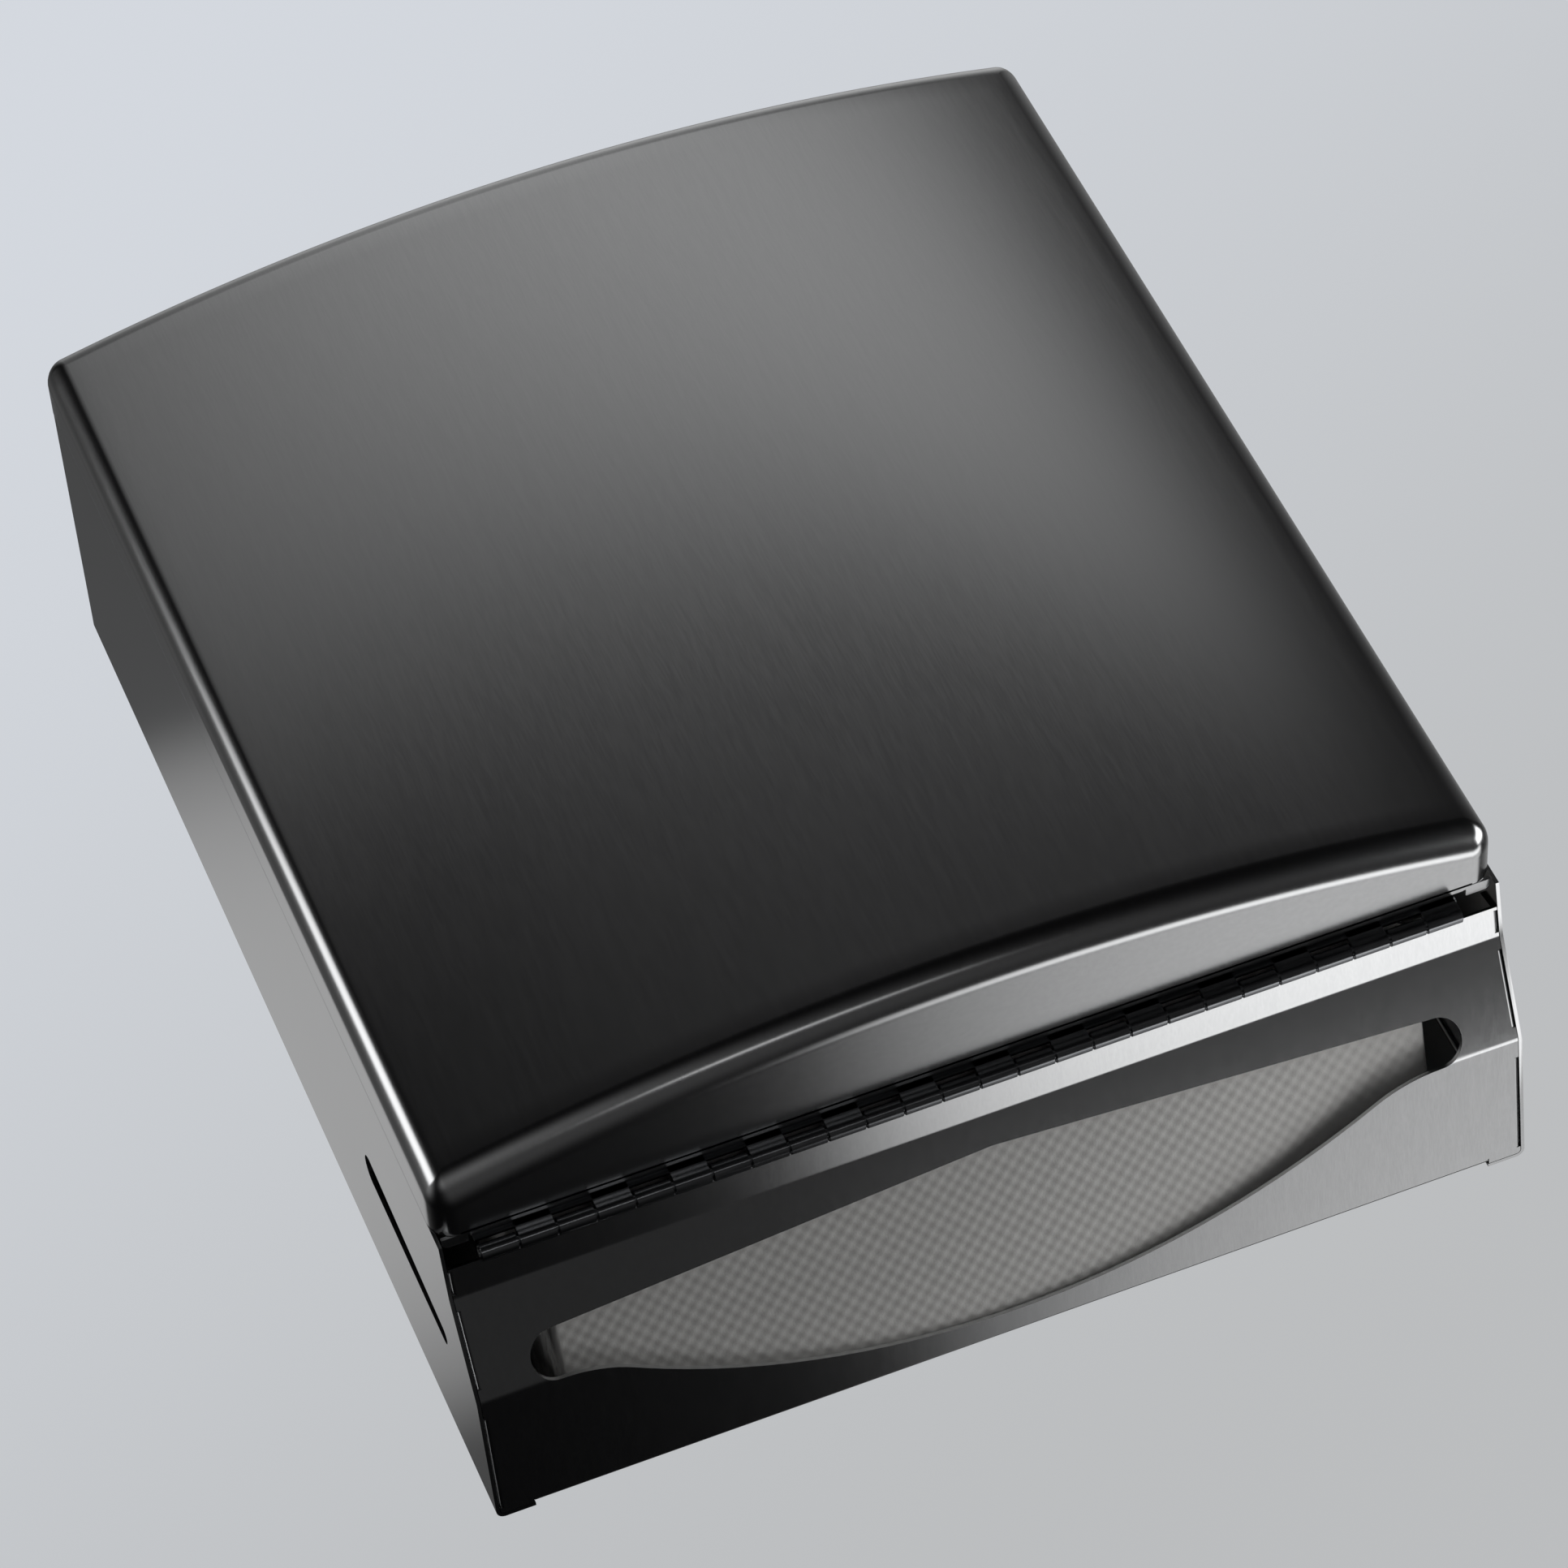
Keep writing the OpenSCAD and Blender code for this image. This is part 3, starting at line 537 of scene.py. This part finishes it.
# piano hinge, each leaf with its rolled knuckles
hingeShape = {
    "left": -140.0,
    "pitch": 278.1 / 26,
    "count": 26,
    "gap": 0.5,
    "barrel": 2.4,
    "leaf": 0.8,
    "round": 0.16,
    "roundRows": (1.0, 0.293, 0.0),     # 1 - sin of 0, 45 and 90 degrees
    "roundDepth": 0.999,                # how deep the rounding runs, as a share of its radius
    "pin": (-86.118, 20.422),
    "trayTilt": -11.535,
    "trayReach": 10.75,
    "doorReach": 11.5,
    "clear": 0.4,
    "roll": 40,
}


def knuckleOutline(shape, reach, inset):
    # strip along +u whose face is tangent to the barrel at the top; the sheet is rolled right round
    outer = shape["barrel"] - inset
    inner = shape["barrel"] - shape["leaf"]
    meet = np.degrees(np.arcsin(inner / shape["barrel"]))
    barrel = arcPoints((0, 0), outer, 90, 360 + meet, shape["roll"])
    top, under = outer, inner + inset
    return np.concatenate([[[reach - inset, under], [reach - inset, top]], [[reach * 0.5, top]],
                           barrel, [[reach * 0.5, under]]])


def buildLeaf(shape, first, reach, along, up):
    # every second knuckle with softened ends, and the plain leaf between them
    pin = np.array(shape["pin"])
    axes = np.array([along, up])

    def place(outline, x):
        return np.insert(pin + outline @ axes, 0, x, axis=1)

    soft = shape["round"]
    parts = []
    for index in range(first, shape["count"], 2):
        x0 = shape["left"] + index * shape["pitch"] + shape["gap"] / 2
        x1 = x0 + shape["pitch"] - shape["gap"]
        ends = [(share, soft * (1 - share) * shape["roundDepth"]) for share in shape["roundRows"]]
        rows = [place(knuckleOutline(shape, reach, soft * share), x0 + back) for share, back in ends]
        rows += [place(knuckleOutline(shape, reach, soft * share), x1 - back) for share, back in ends[::-1]]
        parts.append(loopRows(rows))
    start = shape["barrel"] + shape["clear"]
    top, under = shape["barrel"], shape["barrel"] - shape["leaf"]
    plate = np.array([[start, under], [reach, under], [reach, top], [start, top]])
    x0, x1 = shape["left"], shape["left"] + shape["pitch"] * shape["count"]
    parts.append(loopRows([place(plate, x0), place(plate, x1)]))
    return joinPieces(parts)


tilt = np.radians(hingeShape["trayTilt"])
leafSides = {
    "cabinet": (0, hingeShape["trayReach"], (np.cos(tilt), np.sin(tilt)), (-np.sin(tilt), np.cos(tilt))),
    "door": (1, hingeShape["doorReach"], (0.0, 1.0), (-1.0, 0.0)),
}
for body, (first, reach, along, up) in leafSides.items():
    leafPoints, leafFaces = buildLeaf(hingeShape, first, reach, along, up)
    drawnLeaf = newPiece("hinge_leaf_" + body, toFrame(leafPoints), leafFaces, "shadedHingeSteel")
    weldPiece(drawnLeaf, 0.000002)
    keepFolds(drawnLeaf)
    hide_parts("hinge_%s_leaf" % body)
    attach(drawnLeaf, body)
    print("hinge leaf", body, len(drawnLeaf.data.polygons))

# folded towels: the lowest one with its embossing, and the pile above it
towelShape = {
    "halfLength": 125.0,
    "backY": -4.2,
    "frontY": -80.1,
    "thick": 4.0,           # one folded towel lying on the tray
    "pitchX": 4.5,
    "pitchY": 5.2,
    "puff": 0.17,           # half the height of the embossing
    "puffRim": 1.5,         # over which the embossing fades out
    "sag": 0.5,
    "lift": 0.3,
    "wave": 0.16,
    "waveSpan": (23.0, 31.0),
    "drift": (0.25, 0.2),   # how far the embossing wanders along X and along Y
    "driftSpan": (19.0, 11.0),
    "edgeRise": 0.9,
    "edgeRim": 1.2,
    "edgeRows": 5,
    "columns": 331,
    "rows": 91,
}
towelUnder = {
    "depth": (-80.2, -75.5, -71.5, -64.0, -8.0, -4.0),
    "height": (22.5, 21.5, 20.2, 16.0, 2.7, 3.0),
    "front": -84.0,
    "steps": 337,
    "blend": 22,            # steps of a quarter millimetre over which two runs blend
}


def underHeight(y):
    # straight runs blended over 5 mm: the towel bridges the rear crease of the tray
    line = np.linspace(towelUnder["front"], 0, towelUnder["steps"])
    run = np.interp(line, towelUnder["depth"], towelUnder["height"])
    window = np.hanning(towelUnder["blend"])
    rim = towelUnder["blend"] // 2
    soft = np.convolve(np.pad(run, rim, mode="edge"), window / window.sum(), mode="same")[rim:-rim]
    return np.interp(y, line, soft)


def restHeight(gx, gy, shape):
    # underHeight(y) + lift + sag * (x / a)^2 + a slow wave
    bow = shape["sag"] * (gx / shape["halfLength"]) ** 2
    wave = shape["wave"] * np.sin(gx / shape["waveSpan"][0] + gy / shape["waveSpan"][1])
    return underHeight(gy) + shape["lift"] + bow + wave


def borderOf(grid):
    # once round the four sides of a grid of points
    return np.concatenate([grid[0, :-1], grid[:-1, -1], grid[-1, :0:-1], grid[:0:-1, 0]])


def closedSlab(under, top, sides):
    # two grids and the rows of points that run from the border of one to the border of the other
    ny, nx = under.shape[:2]
    flat = gridFaces(ny, nx)
    return joinPieces([(under.reshape(-1, 3), [f[::-1] for f in flat]),
                       (sides.reshape(-1, 3), gridFaces(len(sides), sides.shape[1], closed=True)),
                       (top.reshape(-1, 3), flat)])


def buildTowel(shape):
    # underside: rest height + puff * cos(2 pi x / pitchX) * cos(2 pi y / pitchY), fading out at the rim
    a = shape["halfLength"]
    gx, gy = np.meshgrid(np.linspace(-a, a, shape["columns"]),
                         np.linspace(shape["frontY"], shape["backY"], shape["rows"]))
    rest = restHeight(gx, gy, shape)
    rim = np.minimum(a - np.abs(gx), np.minimum(gy - shape["frontY"], shape["backY"] - gy))
    fade = np.clip(rim / shape["puffRim"], 0, 1)
    shift = sum(far * np.sin(g / run) for far, g, run in zip(shape["drift"], (gx, gy), shape["driftSpan"]))
    puffs = np.cos(2 * np.pi * (gx + shift) / shape["pitchX"]) \
        * np.cos(2 * np.pi * (gy + shift) / shape["pitchY"])
    rounding = shape["edgeRise"] * (1 - np.clip(rim / shape["edgeRim"], 0, 1)) ** 2
    under = np.stack([gx, gy, rest + shape["puff"] * puffs * fade + rounding], -1)
    top = np.stack([gx, gy, rest + shape["thick"]], -1)
    low, high = borderOf(under), borderOf(top)
    share = np.linspace(0, 1, shape["edgeRows"])[:, None, None]
    return closedSlab(under, top, low[None] * (1 - share) + high[None] * share)


pileShape = {
    "inset": 0.15,
    "lap": 0.3,
    "top": 199.6,
    "layer": 4.1,           # height of one folded towel that shows on the sides
    "lean": 0.7,            # how far single towels stand back
    "leanRun": 60.0,        # points along the border that stand back alike
    "leanMix": (12.9898, 4.1, 43758.5453),      # any large, uneven numbers do
    "foldDepth": 0.45,
    "topFade": 40.0,        # how soon the steps end at the top and start at the foot
    "footFade": 60.0,
    "footStart": 0.3,
    "topDip": 0.9,
    "topWave": 0.5,
    "topSpan": (41.0, 17.0),
    "columns": 81,
    "rows": 31,
    "levels": 216,
}


def buildPile(shape, lowest):
    # sides as rows of one boundary, set back towel by towel:
    # step = lean * noise(towel) + foldDepth * (1 - |sin(pi z / layer)|)^2 inwards
    a = lowest["halfLength"] - shape["inset"]
    front, back = lowest["frontY"] + shape["inset"], lowest["backY"] - shape["inset"]
    gx, gy = np.meshgrid(np.linspace(-a, a, shape["columns"]), np.linspace(front, back, shape["rows"]))
    under = np.stack([gx, gy, restHeight(gx, gy, lowest) + lowest["thick"] - shape["lap"]], -1)
    topWave = shape["topWave"] * np.sin(gx / shape["topSpan"][0]) * np.cos(gy / shape["topSpan"][1])
    top = np.stack([gx, gy, shape["top"] - shape["topDip"] - topWave], -1)
    low, high = borderOf(under), borderOf(top)
    share = np.linspace(0, 1, shape["levels"])[:, None]
    height = low[None, :, 2] * (1 - share) + high[None, :, 2] * share
    towel = np.floor(height / shape["layer"])
    byTowel, byRun, size = shape["leanMix"]
    stretch = np.floor(np.arange(len(low)) / shape["leanRun"])
    noise = np.abs(np.sin(towel * byTowel + stretch * byRun) * size) % 1.0
    fold = 1 - np.abs(np.sin(np.pi * height / shape["layer"]))
    ends = np.clip((1 - share) * shape["topFade"], 0, 1) \
        * np.clip(share * shape["footFade"] + shape["footStart"], 0, 1)
    step = (shape["lean"] * noise + shape["foldDepth"] * fold ** 2) * ends
    middle = np.array([0.0, (front + back) / 2])
    away = low[:, :2] - middle
    inward = -np.sign(away) * (np.abs(np.abs(away) - (a, (back - front) / 2)) < 1e-6)
    sides = np.empty((shape["levels"], len(low), 3))
    sides[:, :, :2] = low[None, :, :2] + inward[None] * step[..., None]
    sides[:, :, 2] = height
    sides[0, :, :2] = low[:, :2]
    sides[-1, :, :2] = high[:, :2]
    return closedSlab(under, top, sides)


for towelName, (towelPoints, towelFaces) in {"lowest_towel": buildTowel(towelShape),
                                             "towel_pile": buildPile(pileShape, towelShape)}.items():
    paperPiece = newPiece(towelName, toFrame(towelPoints), towelFaces, "towelPaper")
    weldPiece(paperPiece, 0.00002)
    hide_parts("towel_stack")
    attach(paperPiece, "cabinet")
    print(towelName, len(paperPiece.data.polygons))

# camera, set to the outlines in the photograph
cameraFacts = {
    "place": (-0.38806, -1.46771, -1.18499),
    "round": 15.334,        # degrees from +Y towards +X
    "up": 38.551,
    "roll": -28.2,
    "lens": 154.805,
    "sensor": 36.0,
    "near": 0.05,
    "far": 60.0,
}
turn, rise, roll = [np.radians(cameraFacts[key]) for key in ("round", "up", "roll")]
cameraLook = np.array([np.sin(turn) * np.cos(rise), np.cos(turn) * np.cos(rise), np.sin(rise)])
level = np.array([np.cos(turn), -np.sin(turn), 0.0])
cameraRight = level * np.cos(roll) + np.cross(level, cameraLook) * np.sin(roll)
cameraUp = np.cross(cameraRight, cameraLook)
cameraData = bpy.data.cameras.new("photoCamera")
cameraData.sensor_width = cameraFacts["sensor"]
cameraData.lens = cameraFacts["lens"]
cameraData.clip_start, cameraData.clip_end = cameraFacts["near"], cameraFacts["far"]
camera = bpy.data.objects.new("photoCamera", cameraData)
pose = np.eye(4)
pose[:3] = np.stack([cameraRight, cameraUp, -cameraLook, cameraFacts["place"]], 1)
camera.matrix_world = Matrix(pose.tolist())
bpy.context.scene.collection.objects.link(camera)
bpy.context.scene.camera = camera

# floor, soft boxes and the surrounding light
stageFacts = {
    "floorZ": -2.0,
    "floorHalf": 40.0,
    "floorColour": (0.70, 0.71, 0.73),
    "floorCloud": 3.0,
    "floorGlow": 0.9,
    "floorShare": 0.85,             # of the floor seen by the camera that is plain light
    "aim": (0.0, -0.06, -0.05),     # what every soft box faces
    "boxSteps": 13,                 # points along each edge of a soft box
}


def floorFinish():
    # a pale matt floor; the camera sees most of its colour as plain light, the surroundings add the shading
    f = newMaterial("paleFloor")
    cloud = f.noise(stageFacts["floorCloud"])
    colour = f.blend(cloud, tuple(c * 0.97 for c in stageFacts["floorColour"]), stageFacts["floorColour"])
    matt = f.node("ShaderNodeBsdfPrincipled", BaseColor=colour, Roughness=0.9)
    plain = f.node("ShaderNodeEmission", Color=colour, Strength=stageFacts["floorGlow"])
    seen = f.node("ShaderNodeLightPath")
    return f.frontOnly(f.node("ShaderNodeMixShader", i0=seen * stageFacts["floorShare"], i1=matt, i2=plain))


half, floorZ = stageFacts["floorHalf"], stageFacts["floorZ"]
floorMesh = bpy.data.meshes.new("floor")
floorCorners = [(x * half, y * half, floorZ) for x, y in ((-1, -1), (1, -1), (1, 1), (-1, 1))]
floorMesh.from_pydata(floorCorners, [], [(0, 1, 2, 3)])
floorMesh.materials.append(floorFinish())
floorPiece = bpy.data.objects.new("floor", floorMesh)
bpy.context.scene.collection.objects.link(floorPiece)
# the satin sheet mirrors the surroundings below and not the floor
floorPiece.visible_glossy = False
floorPiece.visible_diffuse = False


def softBoxFinish():
    # gives off the light stored at the corners of the mesh and lets everything else through
    f = newMaterial("softBox")
    stored = f.node("ShaderNodeVertexColor", {"layer_name": "glow"})
    light = f.node("ShaderNodeEmission", Color=stored, Strength=1.0)
    through = f.node("ShaderNodeBsdfTransparent")
    f.owner.cycles.emission_sampling = "FRONT"
    return f.frontOnly(f.node("ShaderNodeAddShader", i0=light, i1=through))


def makeSoftBox(name, box, finish):
    # points corner + s * across + t * along, s and t from 0 to 1; the brightness runs evenly from the
    # first to the last value of "glow" with s, and falls off at the rim as (1 - (2s-1)^4) * (1 - (2t-1)^4)
    corner, across, along = (np.array(box[key], float) for key in ("corner", "across", "along"))
    steps = np.linspace(0, 1, stageFacts["boxSteps"])
    t, s = np.meshgrid(steps, steps, indexing="ij")
    points = corner + s[..., None] * across + t[..., None] * along
    first, last = box["glow"]
    glow = (first + (last - first) * s) * (1 - (2 * s - 1) ** 4) * (1 - (2 * t - 1) ** 4)
    faces = gridFaces(*s.shape)
    if np.dot(np.cross(across, along), stageFacts["aim"] - points.mean((0, 1))) < 0:
        faces = [face[::-1] for face in faces]
    mesh = bpy.data.meshes.new(name)
    mesh.from_pydata(points.reshape(-1, 3).tolist(), [], faces)
    layer = mesh.color_attributes.new("glow", "FLOAT_COLOR", "POINT")
    shade = np.repeat(glow.reshape(-1, 1), 4, axis=1)
    shade[:, 3] = 1.0
    layer.data.foreach_set("color", shade.ravel())
    mesh.materials.append(finish)
    made = bpy.data.objects.new(name, mesh)
    bpy.context.scene.collection.objects.link(made)
    made.visible_camera = False
    made.visible_shadow = False


# each soft box: one corner, its two edges, and how bright it looks at its first and last end
softBoxes = {
    "belowMiddle": {
        "corner": (0.01, -0.02, -0.45), "across": (0.6, 0, 0), "along": (0, 0.18, 0),
        "glow": (1.6, 2),
    },
    "belowBack": {
        "corner": (0.03, 0.12, -0.45), "across": (0.6, 0, 0), "along": (0.05, 0.5, 0),
        "glow": (0.7, 0.9),
    },
    "lowRight": {
        "corner": (0.55, -0.35, -0.6), "across": (0, 0.3, 0), "along": (0, 0, 0.5),
        "glow": (4, 4),
    },
    "lowFront": {
        "corner": (-0.15, -1, -0.8), "across": (0.4, 0, 0), "along": (0, 0.16, 0),
        "glow": (2, 0.5),
    },
    "left": {
        "corner": (-0.95, -0.6, 0.2), "across": (0, 0.5, 0), "along": (0, 0, 0.55),
        "glow": (2, 2),
    },
    "leftBehind": {
        "corner": (-0.55, 0.42, 0.14), "across": (0.5, 0, 0), "along": (0, 0, 0.36),
        "glow": (0.4, 0.4),
    },
    "frontBar": {
        "corner": (-0.8, -0.95, 0.7), "across": (1.8, 0, 0), "along": (0, 0, 0.7),
        "glow": (0.1, 0.55),
    },
}
softBoxLight = softBoxFinish()
for boxName, box in softBoxes.items():
    makeSoftBox(boxName, box, softBoxLight)
print("soft boxes", len(softBoxes))


sky = {
    "base": (0.003, 0.003, 0.0032),
    "low": (0.50, 0.51, 0.52),
    "high": (0.66, 0.69, 0.74),
    "slope": 0.3,                   # tilts the band where low turns into high
    "band": (0.2, 0.5),
    "mirrored": (0.955, 0.995),     # cosines off the camera's line of sight where mirrors see it pale
    # soft glows: degrees round from the front towards +X, degrees up, sharpness, strength
    "glows": {
        "behind": (150, 20, 8, 0.3),
        "top": (110, 70, 12, 0.6),
        "aboveFront": (15, 60, 30, 0.25),
        "left": (-90, 20, 16, 0.25),
        "leftBehind": (-140, 40, 16, 0.1),
        "lowFront": (-25, -20, 16, 0.2),
        "below": (0, -65, 6, 0.06),
    },
}


def surroundings():
    # strength * max(direction . middle of the glow, 0)^sharpness, added up over the glows;
    # pale to the camera, and in mirrors that look back
    world = bpy.data.worlds.new("studio")
    f = Finish(world, "ShaderNodeOutputWorld")
    x, y, z = f.split(f.node("ShaderNodeTexCoord", out=0))
    toBack = x * cameraLook[0] + y * cameraLook[1] + z * cameraLook[2]
    glow = f.remap(toBack, *sky["mirrored"], 0.0, 1.0)
    height = f.remap(z - y * sky["slope"] - x * sky["slope"], *sky["band"], 0.0, 1.0)
    pale = f.blend(height, sky["low"], sky["high"])
    total = None
    for around, up, sharp, strength in sky["glows"].values():
        turn, rise = np.radians(around), np.radians(up)
        towards = x * (np.sin(turn) * np.cos(rise)) + y * (-np.cos(turn) * np.cos(rise)) + z * np.sin(rise)
        light = towards.math("MAXIMUM", 0.0) ** sharp * strength
        total = light if total is None else total + light
    lit = f.node("ShaderNodeCombineColor", Red=total, Green=total, Blue=total)
    dim = f.node("ShaderNodeMix", {"data_type": "RGBA", "blend_type": "ADD"}, out=2,
                 i0=1.0, i6=sky["base"], i7=lit)
    camera, glossy = f.node("ShaderNodeLightPath"), f.node("ShaderNodeLightPath", out=3)
    seen = (camera + glossy * glow).math("MINIMUM", 1.0)
    colour = f.blend(seen, dim, pale)
    f.close(f.node("ShaderNodeBackground", Color=colour, Strength=1.0))
    bpy.context.scene.world = world


surroundings()
bpy.context.scene.view_settings.view_transform = "Standard"
print("camera, floor and soft boxes")
